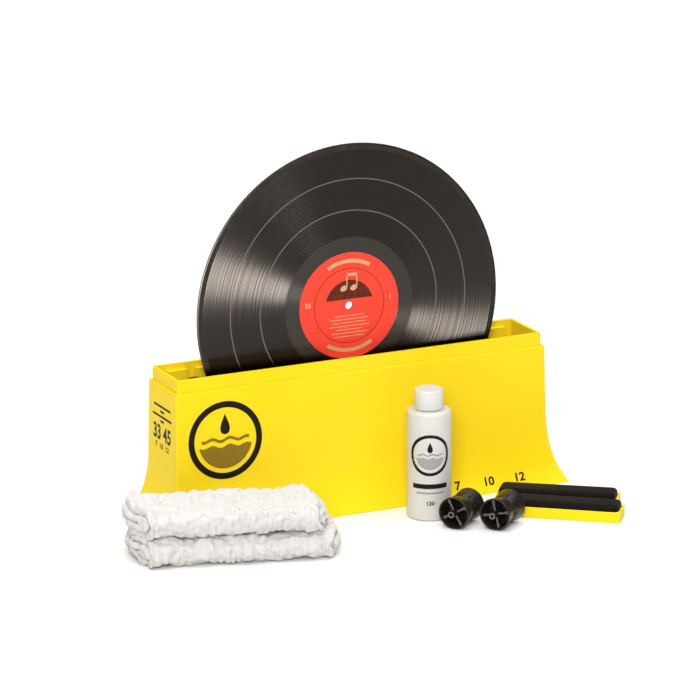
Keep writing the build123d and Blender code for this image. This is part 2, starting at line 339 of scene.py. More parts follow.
def add_ink_ring(bm, outer, width, place):
    """A flat ring of ink that stands in the XZ plane."""
    rim = bmesh.ops.create_circle(bm, cap_ends=False, segments=96, radius=outer)["verts"]
    bmesh.ops.translate(bm, vec=place, verts=widen_inwards(bm, rim, outer, width))


def add_drop(bm, height, place):
    """A water drop of ink with its point up, standing in the XZ plane."""
    drop = add_band(bm, 2.0, 2.0, Vector(), 24, 12)
    for vert in drop:
        swing = acos(max(-1.0, min(1.0, vert.co.z)))
        width = 0.68 * sin(swing) * sin(swing / 2) ** 1.5
        vert.co = place + Vector((vert.co.x * width, 0, vert.co.z)) * (height / 2)


def wave(x, radius):
    """Height of the water's surface at a distance from the middle of a mark."""
    fade = max(0.0, 1 - (x / radius) ** 4)
    return radius * 0.055 * fade * sin(x / radius * 9.5)


def add_water(bm, radius, place, level):
    """Water that fills the bottom of a round mark up to a wavy surface."""
    reach = sqrt(radius**2 - level**2)
    for vert in add_band(bm, 2 * reach, 1.0, Vector(), 8, 64):
        bed = -sqrt(max(0.0, radius**2 - vert.co.x**2))
        surface = level + wave(vert.co.x, radius)
        rise = bed + (surface - bed) * (vert.co.z + 0.5)
        vert.co = place + Vector((vert.co.x, 0, rise))


def add_ripple(bm, radius, place, level, thickness):
    """A wavy band of ink above the water, ending short of the mark's ring."""
    reach = sqrt(radius**2 - level**2) - thickness
    for vert in add_band(bm, 2 * reach, thickness, Vector(), 2, 64):
        vert.co = place + vert.co + Vector((0, 0, level + wave(vert.co.x, radius)))


def finer(bm, cuts=2):
    """Split long faces so that they can follow a curved surface."""
    bmesh.ops.triangulate(bm, faces=bm.faces)
    bmesh.ops.subdivide_edges(bm, edges=bm.edges, cuts=cuts, use_grid_fill=True)


black_ink = print_ink("black_ink", (0.007, 0.006, 0.006), (0.013, 0.012, 0.011))
olive_ink = print_ink("olive_ink", (0.21, 0.13, 0.012), (0.25, 0.155, 0.016))

front_black = bmesh.new()
add_ink_ring(front_black, mark_radius, mark_ring_width, mark_centre)
add_drop(front_black, mark_drop_height, mark_centre + mark_drop_rise)
print_on_basin(front_black, "front_mark_black", black_ink, rearwards)

front_olive = bmesh.new()
add_water(front_olive, pool_radius, mark_centre, pool_level)
add_ripple(front_olive, pool_radius, mark_centre, ripple_level, ripple_width)
print_on_basin(front_olive, "front_mark_olive", olive_ink, rearwards)


def add_figures(bm, text, height, place, stretch=1.0):
    """Plain bold figures, centred on a place, standing in the XZ plane and facing forwards."""
    curve = bpy.data.curves.new("figures", "FONT")
    curve.body = text
    curve.size = height / 0.7
    curve.align_x = "CENTER"
    curve.align_y = "CENTER"
    curve.offset = 0.045 * height
    holder = bpy.data.objects.new("figures", curve)
    flat = bpy.data.meshes.new_from_object(holder)
    bpy.data.objects.remove(holder)
    upright = Matrix.Rotation(pi / 2, 4, "X") @ Matrix.Diagonal((stretch, 1, 1, 1))
    flat.transform(Matrix.Translation(place) @ upright)
    bm.from_mesh(flat)
    bpy.data.meshes.remove(flat)


size_figures = bmesh.new()
for figures, x in (("7", 0.089), ("10", 0.121), ("12", 0.153)):
    add_figures(size_figures, figures, 0.0070, Vector((x, -0.2, sizes_height)), 1.15)
finer(size_figures)
print_on_basin(size_figures, "size_figures", black_ink, rearwards)

end_print = bmesh.new()
for height, length in ((0.1106, 0.038), (0.1060, 0.009), (0.1014, 0.043), (0.0970, 0.008)):
    add_band(end_print, length, 0.0022, Vector((0, 0, height)), 1, 8)
add_figures(end_print, "33 45", 0.0132, Vector((0, 0, 0.0855)), 0.95)
add_figures(end_print, "7  10  12", 0.0048, Vector((0, 0, 0.0735)), 1.25)
finer(end_print, 1)
end_print.transform(Matrix.Translation((-0.3, 0, 0)) @ Matrix.Rotation(-pi / 2, 4, "Z"))
print_on_basin(end_print, "end_print", black_ink, Vector((1, 0, 0)))

# Guide panels ---------------------------------------------------------------------------------
# A yellow slotted panel lines each long wall of the trough. Its tapering slots take the rollers'
# journals, and its pair of rails holds a brush: their tops slope, to lead it in. They are
# separate mouldings, a little duller.

rails_within = 0.018
rail_tops_above = 0.136
rail_root = 0.020
rail_lead_in = 0.25
panel_round = 0.0004

panel_finish = yellow_plastic("panel_plastic", 0.32)


def softened_copy(node, width):
    """A copy of a moulded node with its doubles merged and its hard edges rounded."""
    bm = bmesh.new()
    bm.from_mesh(nodes[node].data)
    bmesh.ops.remove_doubles(bm, verts=bm.verts, dist=1e-6)
    bmesh.ops.dissolve_limit(bm, angle_limit=radians(0.5), verts=bm.verts, edges=bm.edges)
    round_edges(bm, width, 2)
    return bm


for side in ("front", "rear"):
    panel = softened_copy(f"guide_panel_{side}", panel_round)
    for vert in panel.verts:
        if vert.co.z > rail_tops_above and abs(vert.co.x) < rails_within:
            vert.co.z -= rail_lead_in * max(0.0, rail_root - abs(vert.co.y))
    piece = set_down(
        panel, f"guide_panel_{side}_moulding", "washer_basin",
        panel_finish, [f"guide_panel_{side}"],
    )
    even_shading(piece)

# Rollers --------------------------------------------------------------------------------------
# Each roller is a pair of glossy black cups joined back to back, with a groove at the seam for
# the record's edge. Four ribs, each with a round post, stiffen each cup, and a hollow journal
# stands out of its hub. The tops of the ribs and journals are painted a lighter grey: a painted
# highlight where they catch the light.

roller_half_length = 0.0168
flange_radius = 0.0149
waist_radius = 0.0126
groove_radius = 0.0112
groove_half_width = 0.0013
waist_start = 0.0027
cup_wall = 0.0015
web = 0.002
hub_radius = 0.003
hub_bore = 0.0015
journal_end = 0.0223
rib_top = 0.0143
rib_thickness = 0.0016
rib_overlap = 0.0005
post_radius = 0.0015
post_inset = 0.0022
cup_round = 0.0004
rib_round = 0.0003
# How far down from the rib tops the painted highlight reaches.
highlight_top_depth = 0.0005

roller_finish, shader, place = new_finish("roller_plastic", Specular_IOR_Level=0.35)
grain = speckle(roller_finish, place, 240.0, 5.0)
paint(roller_finish, shader, grain, (0.007, 0.0055, 0.004), (0.015, 0.012, 0.009))
roughen(roller_finish, shader, grain, 0.24, 0.42)
relief(roller_finish, shader, speckle(roller_finish, place, 500.0, 2.0), 0.00003)

# Painted highlight: a lighter grey than the black cups, for the light that the rib and journal tops
# catch.
rib_highlight_finish, shader, place = new_finish("roller_rib_painted_highlight", Specular_IOR_Level=0.5)
painted_highlight_spots = speckle(rib_highlight_finish, place, 400.0, 5.0, 0.6)
paint(rib_highlight_finish, shader, between(rib_highlight_finish, painted_highlight_spots, 0, 1), (0.06, 0.053, 0.045), (0.17, 0.155, 0.14))
roughen(rib_highlight_finish, shader, painted_highlight_spots, 0.3, 0.5)
relief(rib_highlight_finish, shader, painted_highlight_spots, 0.00005)


def turn_on_lathe(profile, centre, axis, across, steps, closed=True):
    """Spin a profile of (radius, distance along the axis) points into a turned shape."""
    bm = bmesh.new()
    points = [bm.verts.new(centre + across * radius + axis * along) for radius, along in profile]
    following = points[1:] + points[:1] if closed else points[1:]
    edges = [bm.edges.new(pair) for pair in zip(points, following)]
    bmesh.ops.spin(
        bm, geom=points + edges, cent=centre, axis=axis, dvec=(0, 0, 0),
        angle=2 * pi, steps=steps, use_merge=True, use_duplicate=False,
    )
    bmesh.ops.remove_doubles(bm, verts=bm.verts, dist=1e-6)
    bmesh.ops.recalc_face_normals(bm, faces=bm.faces)
    return bm


def cup_inside(along):
    """Inside radius of a cup at a distance from the seam."""
    return waist_radius + (flange_radius - waist_radius) * along / roller_half_length - cup_wall


def take_in(bm, part):
    """Add a finished part to a larger mesh."""
    carrier = bpy.data.meshes.new("part")
    part.to_mesh(carrier)
    part.free()
    bm.from_mesh(carrier)
    bpy.data.meshes.remove(carrier)


def roller_cup(first_rib):
    """One half of a roller, with its seam at the origin and its axis up."""
    cup = turn_on_lathe(
        [
            (hub_bore, 0), (groove_radius, 0), (groove_radius, groove_half_width),
            (waist_radius, waist_start), (flange_radius, roller_half_length),
            (cup_inside(roller_half_length), roller_half_length), (cup_inside(web), web),
            (hub_radius, web), (hub_radius, journal_end), (hub_bore, journal_end),
        ],
        Vector(), Vector((0, 0, 1)), Vector((1, 0, 0)), 72,
    )
    round_edges(cup, cup_round, 3)
    # Journal faces above the ribs take the second finish, the painted highlight.
    for face in cup.faces:
        middle = face.calc_center_median()
        face.material_index = int(middle.xy.length < hub_radius + hair and middle.z > rib_top)
    reach = cup_inside(rib_top)
    length = reach - hub_radius + 2 * rib_overlap
    height = rib_top - web
    size = Matrix.Diagonal((length, rib_thickness, height, 1))
    middle = Matrix.Translation((hub_radius + length / 2 - rib_overlap, 0, web + height / 2))
    for number in range(4):
        out = Matrix.Rotation(-radians(first_rib + 90 * number), 4, "Z")
        rib = bmesh.new()
        bmesh.ops.create_cube(rib, size=1.0, matrix=out @ middle @ size)
        bmesh.ops.create_cone(
            rib, cap_ends=True, segments=20, radius1=post_radius, radius2=post_radius, depth=height,
            matrix=out @ Matrix.Translation((reach - post_inset, 0, web + height / 2)),
        )
        round_edges(rib, rib_round, 2)
        # Rib faces near the top take the painted highlight finish.
        for face in rib.faces:
            face.material_index = int(face.calc_center_median().z > rib_top - highlight_top_depth)
        take_in(cup, rib)
    return cup


def fit_roller(name, body, centre, turn, first_rib):
    """Both cups of a roller, whose axis is level and turned from +X by an angle in degrees."""
    for half, sense in (("front_half", -1), ("rear_half", 1)):
        axis = Vector((cos(radians(turn)), sin(radians(turn)), 0)) * sense
        up = Vector((0, 0, 1))
        cup = roller_cup(first_rib)
        seat = Matrix((up, axis.cross(up), axis)).transposed().to_4x4()
        cup.transform(Matrix.Translation(centre) @ seat)
        piece = set_down(
            cup, f"{name}_{half}_cup", body, roller_finish, [f"{name}_{half}"],
        )
        piece.data.materials.append(rib_highlight_finish)


def middle_of(*names):
    """The middle of the box round some nodes."""
    corners = [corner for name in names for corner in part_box(name)]
    low = Vector(min(corner[i] for corner in corners) for i in range(3))
    high = Vector(max(corner[i] for corner in corners) for i in range(3))
    return (low + high) / 2


for name, body, turn, first_rib in (
    ("left_roller", "left_roller_body", 90, 45),
    ("right_roller", "right_roller_body", 90, 20),
    ("spare_roller_1", "spare_roller_1_body", 37.5, 61),
    ("spare_roller_2", "spare_roller_2_body", 37.5, 77),
):
    centre = middle_of(f"{name}_front_half", f"{name}_rear_half")
    fit_roller(name, body, centre, turn, first_rib)

# Brushes --------------------------------------------------------------------------------------
# A plain yellow holder with a black velvet pad glued into the recess in its face. The pile is
# short and thick: it lies over at the rounded ends and catches the light along the top.

holder_back = 0.0172
holder_length = 0.112
pad_length = 0.108
pad_width = 0.0241
pad_base = 0.0092
pad_top = 0.016
pad_corner_round = 0.005
pad_crown = 0.004
holder_round = 0.0003

holder_finish = yellow_plastic("holder_plastic", 0.3)

velvet, shader, place = new_finish(
    "brush_velvet", Roughness=0.8, Specular_IOR_Level=0.12,
    Sheen_Weight=0.12, Sheen_Roughness=0.3, Sheen_Tint=(0.5, 0.44, 0.38, 1),
)
pile = speckle(velvet, place, 260.0, 5.0, 0.6)
paint(velvet, shader, between(velvet, pile, 0, 1), (0.002, 0.0017, 0.0014), (0.008, 0.0066, 0.0052))
relief(velvet, shader, speckle(velvet, place, 2200.0, 2.0), 0.0003)


def velvet_pad():
    """A crowned pad with rounded ends, lying along X with its face up."""
    pad = bmesh.new()
    face = bmesh.ops.create_grid(pad, x_segments=1, y_segments=1, size=0.5)["verts"]
    bmesh.ops.scale(pad, vec=(pad_length, pad_width, 1), verts=face)
    bmesh.ops.translate(pad, vec=(0, 0, pad_base), verts=face)
    bevel(pad, face, pad_corner_round, 6, "VERTICES")
    lid = new_verts(bmesh.ops.extrude_face_region(pad, geom=list(pad.faces))["geom"])
    bmesh.ops.translate(pad, vec=(0, 0, pad_top - pad_base), verts=lid)
    bmesh.ops.recalc_face_normals(pad, faces=pad.faces)
    round_edges(pad, pad_crown, 6, lambda at: at.z > pad_top - hair)
    return pad


def fit_brush(name, body, seat):
    """A holder and its pad on a seat whose X runs along the brush and whose Z points out of it."""
    holder = softened_copy(f"{name}_holder", holder_round)
    piece = set_down(
        holder, f"{name}_holder_moulding", body, holder_finish, [f"{name}_holder"],
    )
    even_shading(piece)
    pad = velvet_pad()
    pad.transform(seat)
    piece = set_down(pad, f"{name}_velvet", body, velvet, [f"{name}_pad"])


def seat_at(origin, along, out):
    return Matrix.Translation(origin) @ Matrix((along, out.cross(along), out)).transposed().to_4x4()


for name, side in (("front_brush", -1), ("rear_brush", 1)):
    origin = Vector((0, side * holder_back, trough_floor + holder_length / 2))
    fit_brush(name, f"{name}_body", seat_at(origin, Vector((0, 0, 1)), Vector((0, -side, 0))))
for name, turn in (("spare_brush_1", -38.6), ("spare_brush_2", -37.0)):
    origin = middle_of(f"{name}_holder")
    origin.z = 0
    along = Vector((cos(radians(turn)), sin(radians(turn)), 0))
    fit_brush(name, f"{name}_body", seat_at(origin, along, Vector((0, 0, 1))))

# Record ---------------------------------------------------------------------------------------
# A 12-inch pressed vinyl disc that stands on edge on the rollers. Fine grooves fill the band
# between the raised edge bead and the smooth dead wax, with two wider gaps between tracks. Its
# rim is smooth and darker.

record_low, record_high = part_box("record")
record_centre = (record_low + record_high) / 2
record_radius = record_high.x
across = Vector((1, 0, 0))
label_radius = 0.050
spindle_hole = 0.00362
dead_wax_radius = 0.064
gap_radii = (0.0887, 0.1180)
gap_width = 0.001
grooves_end = 0.1448
rim_width = 0.0052
half_bead = 0.0009
half_wax = 0.0008
half_grooves = 0.0007
label_recess = 0.00015

vinyl, shader, place = new_finish("record_vinyl", Specular_IOR_Level=0.25, Anisotropic=1.0)
to_centre = add_node(vinyl, "ShaderNodeVectorMath", {1: record_centre}, operation="SUBTRACT")
wire(vinyl, place, to_centre.inputs[0])
flatten = add_node(vinyl, "ShaderNodeVectorMath", {1: (1, 0, 1)}, operation="MULTIPLY")
wire(vinyl, to_centre.outputs["Vector"], flatten.inputs[0])
from_centre = add_node(vinyl, "ShaderNodeVectorMath", operation="LENGTH")
wire(vinyl, flatten.outputs["Vector"], from_centre.inputs[0])
radius = from_centre.outputs["Value"]
as_point = add_node(vinyl, "ShaderNodeCombineXYZ")
wire(vinyl, radius, as_point.inputs["X"])
fine_rings = speckle(vinyl, as_point.outputs["Vector"], 2600.0, 2.0)
loud_rings = speckle(vinyl, as_point.outputs["Vector"], 600.0, 6.0, 0.85)


def ring_mask(inner, outer, edge=0.0003):
    """1 between two radii of the record and 0 elsewhere."""
    rise = between(vinyl, radius, 0, 1, inner - edge, inner + edge)
    fall = between(vinyl, radius, 1, 0, outer - edge, outer + edge)
    both = add_node(vinyl, "ShaderNodeMath", operation="MULTIPLY")
    wire(vinyl, rise, both.inputs[0])
    wire(vinyl, fall, both.inputs[1])
    return both.outputs["Value"]


def either(first, second):
    """1 where one mask or the other is."""
    most = add_node(vinyl, "ShaderNodeMath", operation="MAXIMUM")
    wire(vinyl, first, most.inputs[0])
    wire(vinyl, second, most.inputs[1])
    return most.outputs["Value"]


gaps = [ring_mask(middle - gap_width / 2, middle + gap_width / 2, hair) for middle in gap_radii]
track_gaps = either(*gaps)
wax_and_rim = either(ring_mask(0.0, dead_wax_radius), ring_mask(grooves_end, 0.2, hair))
smooth_bands = either(wax_and_rim, track_gaps)
groove_gloss = between(vinyl, loud_rings, 0.16, 0.36, 0.40, 0.60)
choose_gloss = add_node(vinyl, "ShaderNodeMix", data_type="FLOAT")
wire(vinyl, smooth_bands, choose_gloss.inputs["Factor"])
wire(vinyl, groove_gloss, choose_gloss.inputs["A"])
smooth_gloss = between(vinyl, radius, 0.16, 0.45, 0.140, 0.146)
wire(vinyl, smooth_gloss, choose_gloss.inputs["B"])
wire(vinyl, choose_gloss.outputs["Result"], shader.inputs["Roughness"])
grooves = tint(vinyl, fine_rings, (0.0004, 0.0003, 0.0002), (0.0016, 0.0013, 0.0010))
lands = tint(vinyl, track_gaps, (0.0028, 0.0026, 0.0023), (0.014, 0.0133, 0.0125))
choose_tone = add_node(vinyl, "ShaderNodeMix", data_type="RGBA")
wire(vinyl, smooth_bands, choose_tone.inputs["Factor"])
wire(vinyl, grooves, choose_tone.inputs["A"])
wire(vinyl, lands, choose_tone.inputs["B"])
wire(vinyl, choose_tone.outputs["Result"], shader.inputs["Base Color"])
outward = add_node(
    vinyl, "ShaderNodeVectorTransform", vector_type="VECTOR", convert_from="OBJECT", convert_to="WORLD"
)
wire(vinyl, flatten.outputs["Vector"], outward.inputs["Vector"])
wire(vinyl, outward.outputs["Vector"], shader.inputs["Tangent"])
relief(vinyl, shader, fine_rings, 0.00002, 0.5)

disc_profile = [
    (spindle_hole, half_bead - label_recess), (label_radius, half_bead - label_recess),
    (label_radius, half_bead), (dead_wax_radius, half_wax), (0.0698, half_grooves),
    (record_radius - 0.0058, half_grooves), (record_radius - 0.0025, 0.00085),
    (record_radius - 0.0012, half_bead), (record_radius - 0.0004, 0.0006), (record_radius, 0.0),
]
disc_profile += [(reach, -along) for reach, along in reversed(disc_profile[:-1])]
disc = turn_on_lathe(disc_profile, record_centre, rearwards, across, 240)
for face in disc.faces:
    reach = (face.calc_center_median() - record_centre).length
    face.material_index = int(reach > record_radius - rim_width)
disc_piece = set_down(disc, "record_disc", "turning_record", vinyl, ["record"], 60.0)

rim_finish, shader, place = new_finish("record_rim_vinyl", Specular_IOR_Level=0.1)
handled = speckle(rim_finish, place, 120.0, 4.0, 0.6)
paint(rim_finish, shader, handled, (0.001, 0.0009, 0.0008), (0.003, 0.0027, 0.0024))
roughen(rim_finish, shader, handled, 0.3, 0.42)
disc_piece.data.materials.append(rim_finish)

# Record labels --------------------------------------------------------------------------------
# A round of red uncoated paper pressed into each face, printed in cream with plain rules, two
# arcs, a pair of notes and figures. The press leaves one fine ring in it near the hole and one
# two thirds of the way out.

label_red = (0.76, 0.045, 0.024)
label_cream = (0.62, 0.36, 0.20)
label_brown = (0.060, 0.012, 0.008)
label_back = 0.00076
label_face = half_bead - 0.00003
outer_ring_radius = 0.0354
outer_ring_depth = 0.00008
inner_ring_radius = 0.0080
inner_ring_depth = 0.00006
backdrop_radius = 0.024
backdrop_bottom = 0.006
rule_lengths = (0.030, 0.038, 0.034, 0.040, 0.026, 0.036, 0.030)
rule_width = 0.0007
first_rule = -0.0095
rule_step = 0.0032
arc_radius = 0.0435
arc_width = 0.0034
figure_height = 0.0042
figure_place = Vector((0.0415, 0, 0.004))
note_head_radius = 0.0030
note_head_height = 0.0165
stem_size = (0.0011, 0.0130)
stem_place = Vector((0.0031, 0, 0.0232))
beam_size = (0.0111, 0.0026)
beam_place = Vector((0.0029, 0, 0.0290))

paper, shader, place = new_finish("label_paper", Specular_IOR_Level=0.2)
fibres = speckle(paper, place, 1500.0, 5.0, 0.65)
paint(paper, shader, between(paper, fibres, 0, 1), label_red, (0.82, 0.062, 0.034))
roughen(paper, shader, fibres, 0.42, 0.58)
relief(paper, shader, fibres, 0.00004)
cream_ink = print_ink("label_cream_ink", label_cream, (0.56, 0.30, 0.16))
brown_ink = print_ink("label_brown_ink", label_brown, (0.16, 0.03, 0.012))


def add_arc(bm, start, stop):
    """A flat arc of ink between two angles in degrees, standing in the XZ plane."""
    arc = bmesh.ops.create_circle(bm, cap_ends=False, segments=180, radius=arc_radius)["verts"]
    extra = [vert for vert in arc if not start <= degrees(atan2(vert.co.y, vert.co.x)) % 360 <= stop]
    bmesh.ops.delete(bm, geom=extra, context="VERTS")
    widen_inwards(bm, [vert for vert in arc if vert.is_valid], arc_radius, arc_width)


def add_note(bm, x):
    """A slanted oval note head with its stem."""
    head = bmesh.ops.create_circle(bm, cap_ends=True, segments=28, radius=note_head_radius)["verts"]
    bmesh.ops.scale(bm, vec=(1.25, 0.85, 1), verts=head)
    bmesh.ops.rotate(bm, matrix=Matrix.Rotation(radians(22), 3, "Z"), verts=head)
    stand_up(bm, head)
    bmesh.ops.translate(bm, vec=(x, 0, note_head_height), verts=head)
    add_band(bm, *stem_size, stem_place + Vector((x, 0, 0)), 1, 1)


for side_name, side in (("front", -1), ("rear", 1)):
    out = Vector((0, side, 0))
    label = turn_on_lathe(
        [
            (spindle_hole, label_back), (label_radius - 0.0002, label_back),
            (label_radius - 0.0002, label_face), (outer_ring_radius + 0.0004, label_face),
            (outer_ring_radius, label_face - outer_ring_depth), (outer_ring_radius - 0.0004, label_face),
            (inner_ring_radius + 0.0005, label_face), (inner_ring_radius, label_face - inner_ring_depth),
            (inner_ring_radius - 0.0005, label_face), (spindle_hole, label_face),
        ],
        record_centre, out, across, 160,
    )
    set_down(
        label, f"label_{side_name}", "turning_record", paper,
        [f"record_label_{side_name}"],
    )

    faces_out = Matrix.Identity(4) if side < 0 else Matrix.Rotation(pi, 4, "Z")
    backdrop = bmesh.new()
    bmesh.ops.create_circle(backdrop, cap_ends=True, segments=72, radius=backdrop_radius)
    bmesh.ops.bisect_plane(
        backdrop, geom=[*backdrop.verts, *backdrop.edges, *backdrop.faces],
        plane_co=(0, backdrop_bottom, 0), plane_no=(0, 1, 0), clear_inner=True,
    )
    backdrop.transform(Matrix.Rotation(pi / 2, 4, "X"))
    add_ink_ring(backdrop, 0.0352, 0.0005, Vector())
    backdrop.transform(Matrix.Translation(record_centre + out * (half_bead + 0.00001)) @ faces_out)
    set_down(backdrop, f"label_{side_name}_backdrop", "turning_record", brown_ink)

    lettering = bmesh.new()
    for row, length in enumerate(rule_lengths):
        add_band(lettering, length, rule_width, Vector((0, 0, first_rule - rule_step * row)), 1, 4)
    add_figures(lettering, "33", figure_height, figure_place * Vector((-1, 1, 1)))
    add_figures(lettering, "1" if side < 0 else "2", figure_height, figure_place)
    add_arc(lettering, 58, 122)
    add_arc(lettering, 236, 304)
    for vert in lettering.verts:
        vert.co.y = 0
    add_note(lettering, -0.0052)
    add_note(lettering, 0.0048)
    add_band(lettering, *beam_size, beam_place, 1, 1)
    lettering.transform(Matrix.Translation(record_centre + out * (half_bead + ink_film)) @ faces_out)
    set_down(lettering, f"label_{side_name}_print", "turning_record", cream_ink)

# Fluid bottle ---------------------------------------------------------------------------------
# A blow-moulded bottle in milky polyethylene that lets light through its wall, with a plain
# moulded screw cap and a foam liner. It is printed with a drop over waves, rules and a figure.

bottle_low, bottle_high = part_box("bottle")
bottle_place = Vector(((bottle_low.x + bottle_high.x) / 2, (bottle_low.y + bottle_high.y) / 2, 0))
bottle_radius = 0.02025
bottle_shoulder = 0.1014
bottle_wall = 0.0012
push_up = 0.0012
push_up_radius = 0.012
foot_ring = 0.0165
neck_radius = 0.0105
neck_bore = neck_radius - 1.5 * bottle_wall
cap_bore = neck_radius + 0.0004
cap_top = 0.0016
upright = Vector((0, 0, 1))

milky, shader, place = new_finish(
    "bottle_plastic", Transmission_Weight=0.35, IOR=1.5, Subsurface_Weight=0.35,
    Subsurface_Radius=(0.004, 0.0038, 0.0034), Subsurface_Scale=1.0,
)
haze = speckle(milky, place, 45.0, 3.0)
paint(milky, shader, haze, (0.80, 0.79, 0.73), (0.86, 0.85, 0.80))
roughen(milky, shader, haze, 0.36, 0.46)
relief(milky, shader, speckle(milky, place, 300.0, 2.0), 0.00004)

inner_radius = bottle_radius - bottle_wall
bottle = turn_on_lathe(
    [
        (0, push_up), (push_up_radius, push_up), (foot_ring, 0), (bottle_radius, 0),
        (bottle_radius, bottle_shoulder), (neck_radius, bottle_shoulder),
        (neck_radius, bottle_high.z), (neck_bore, bottle_high.z),
        (neck_bore, bottle_shoulder - bottle_wall), (inner_radius, bottle_shoulder - bottle_wall),
        (inner_radius, bottle_wall), (foot_ring, bottle_wall),
        (push_up_radius, push_up + bottle_wall), (0, push_up + bottle_wall),
    ],
    bottle_place, upright, across, 96, closed=False,
)
for rounding, segments, bottom, top, beyond in (
    (0.0036, 6, bottle_shoulder - hair, bottle_shoulder + hair, bottle_radius - 0.001),
    (0.0024, 5, bottle_shoulder - 0.002, bottle_shoulder, 0.015),
    (0.0025, 5, -hair, hair, 0.018),
    (0.0015, 4, hair, 0.002, 0.017),
    (0.0004, 2, bottle_high.z - hair, bottle_high.z + hair, 0.0),
):
    round_edges(bottle, rounding, segments, lambda at: (
        bottom < at.z < top and (at - bottle_place).xy.length > beyond
    ))
set_down(bottle, "bottle_moulding", "fluid_bottle", milky, ["bottle"])

cap_low, cap_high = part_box("bottle_cap")
cap_radius = (cap_high.x - cap_low.x) / 2
cap_plastic, shader, place = new_finish(
    "cap_plastic", Subsurface_Weight=0.2, Subsurface_Radius=(0.003, 0.003, 0.003),
    Subsurface_Scale=1.0,
)
cloud = speckle(cap_plastic, place, 60.0)
paint(cap_plastic, shader, cloud, (0.60, 0.59, 0.565), (0.64, 0.63, 0.61))
roughen(cap_plastic, shader, cloud, 0.28, 0.36)
relief(cap_plastic, shader, speckle(cap_plastic, place, 400.0, 2.0), 0.00002)
cap = turn_on_lathe(
    [
        (0, cap_high.z), (cap_radius, cap_high.z), (cap_radius, cap_low.z), (cap_bore, cap_low.z),
        (cap_bore, cap_high.z - cap_top), (0, cap_high.z - cap_top),
    ],
    bottle_place, upright, across, 96, closed=False,
)
round_edges(cap, 0.001, 4, lambda at: at.z > cap_high.z - hair)
round_edges(cap, 0.0003, 2, lambda at: at.z < cap_low.z + hair)
set_down(cap, "bottle_cap_moulding", "screw_cap", cap_plastic, ["bottle_cap"])

foam, shader, place = new_finish("liner_foam", Specular_IOR_Level=0.2)
cells = speckle(foam, place, 1800.0, 3.0)
paint(foam, shader, cells, (0.70, 0.70, 0.68), (0.82, 0.82, 0.80))
roughen(foam, shader, cells, 0.7, 0.9)
relief(foam, shader, cells, 0.0001)
nodes["cap_liner"].data.materials.clear()
nodes["cap_liner"].data.materials.append(foam)

grey_ink = print_ink("grey_ink", (0.27, 0.27, 0.26), (0.33, 0.33, 0.32))
print_turn = Matrix.Rotation(radians(-23.5), 4, "Z")


def wrap_on_bottle(bm, name, ink):
    """Stretch a flat print round the bottle's front and press it on."""
    for vert in bm.verts:
        swing = vert.co.x / bottle_radius
        out = Vector((sin(swing), -cos(swing), 0)) * (bottle_radius + ink_film)
        vert.co = Vector((out.x, out.y, vert.co.z))
    bm.transform(Matrix.Translation(bottle_place) @ print_turn)
    set_down(bm, name, "fluid_bottle", ink)


bottle_mark = Vector((0, 0, 0.0624))
bottle_mark_radius = 0.0193
bottle_pool_radius = 0.0134
bottle_black = bmesh.new()
add_ink_ring(bottle_black, bottle_mark_radius, 0.0029, bottle_mark)
add_drop(bottle_black, 0.0102, bottle_mark + Vector((0, 0, 0.0074)))
add_band(bottle_black, 0.034, 0.0044, Vector((0, 0, 0.0332)), 1, 32)
volume = bmesh.new()
add_figures(volume, "120", 0.0034, Vector((0, 0, 0.0170)), 1.1)
finer(volume, 1)
take_in(bottle_black, volume)
wrap_on_bottle(bottle_black, "bottle_print_black", black_ink)
bottle_grey = bmesh.new()
add_water(bottle_grey, bottle_pool_radius, bottle_mark, -0.0027)
add_ripple(bottle_grey, bottle_pool_radius, bottle_mark, 0.0004, 0.0016)
add_band(bottle_grey, 0.026, 0.0018, Vector((0, 0, 0.0268)), 1, 32)
wrap_on_bottle(bottle_grey, "bottle_print_grey", grey_ink)

# Drying cloths --------------------------------------------------------------------------------
# Two crinkled white cotton cloths, each folded in half three times into a soft flat bundle and
# laid one on the other. The weave puckers into small cells, and the folds stay thick and round.

cloth_turn = -15.5
cloth_shift = Vector((0.002, 0, 0))
cloth_half_depth = 0.0270
cloth_columns = 320
cloth_rows = 290
layer_gap = 0.0062
ply_gap = 0.0032
fold_bulge = 0.0035
bulge_length = 0.016
end_dome = 0.0035
end_round = 0.0042
round_start = 0.004
end_taper = 0.24
taper_length = 0.016
right_corners = (0.010, 0.004)
left_front_corner = (0.026, 0.011)
left_rear_corner = (0.010, 0.003)
slow_sway = (14, 0.0034)
quick_sway = (48, 0.0022)
weave_sway = (330, 0.0006)
side_pleats = (200, 45)
face_pleats = (40, 150)
puckers = (110, 110)
crease_height = 0.0017
settled_height = 0.0003
settled_share = 0.02

cotton, shader, place = new_finish(
    "cloth_cotton", Specular_IOR_Level=0.12, Sheen_Weight=0.1, Sheen_Roughness=0.5,
    Subsurface_Weight=0.2, Subsurface_Radius=(0.003, 0.003, 0.003), Subsurface_Scale=1.0,
)
threads = speckle(cotton, place, 900.0, 4.0, 0.65)
paint(cotton, shader, between(cotton, threads, 0, 1), (0.585, 0.562, 0.532), (0.675, 0.662, 0.64))
roughen(cotton, shader, threads, 0.8, 0.95)
relief(cotton, shader, threads, 0.0009)


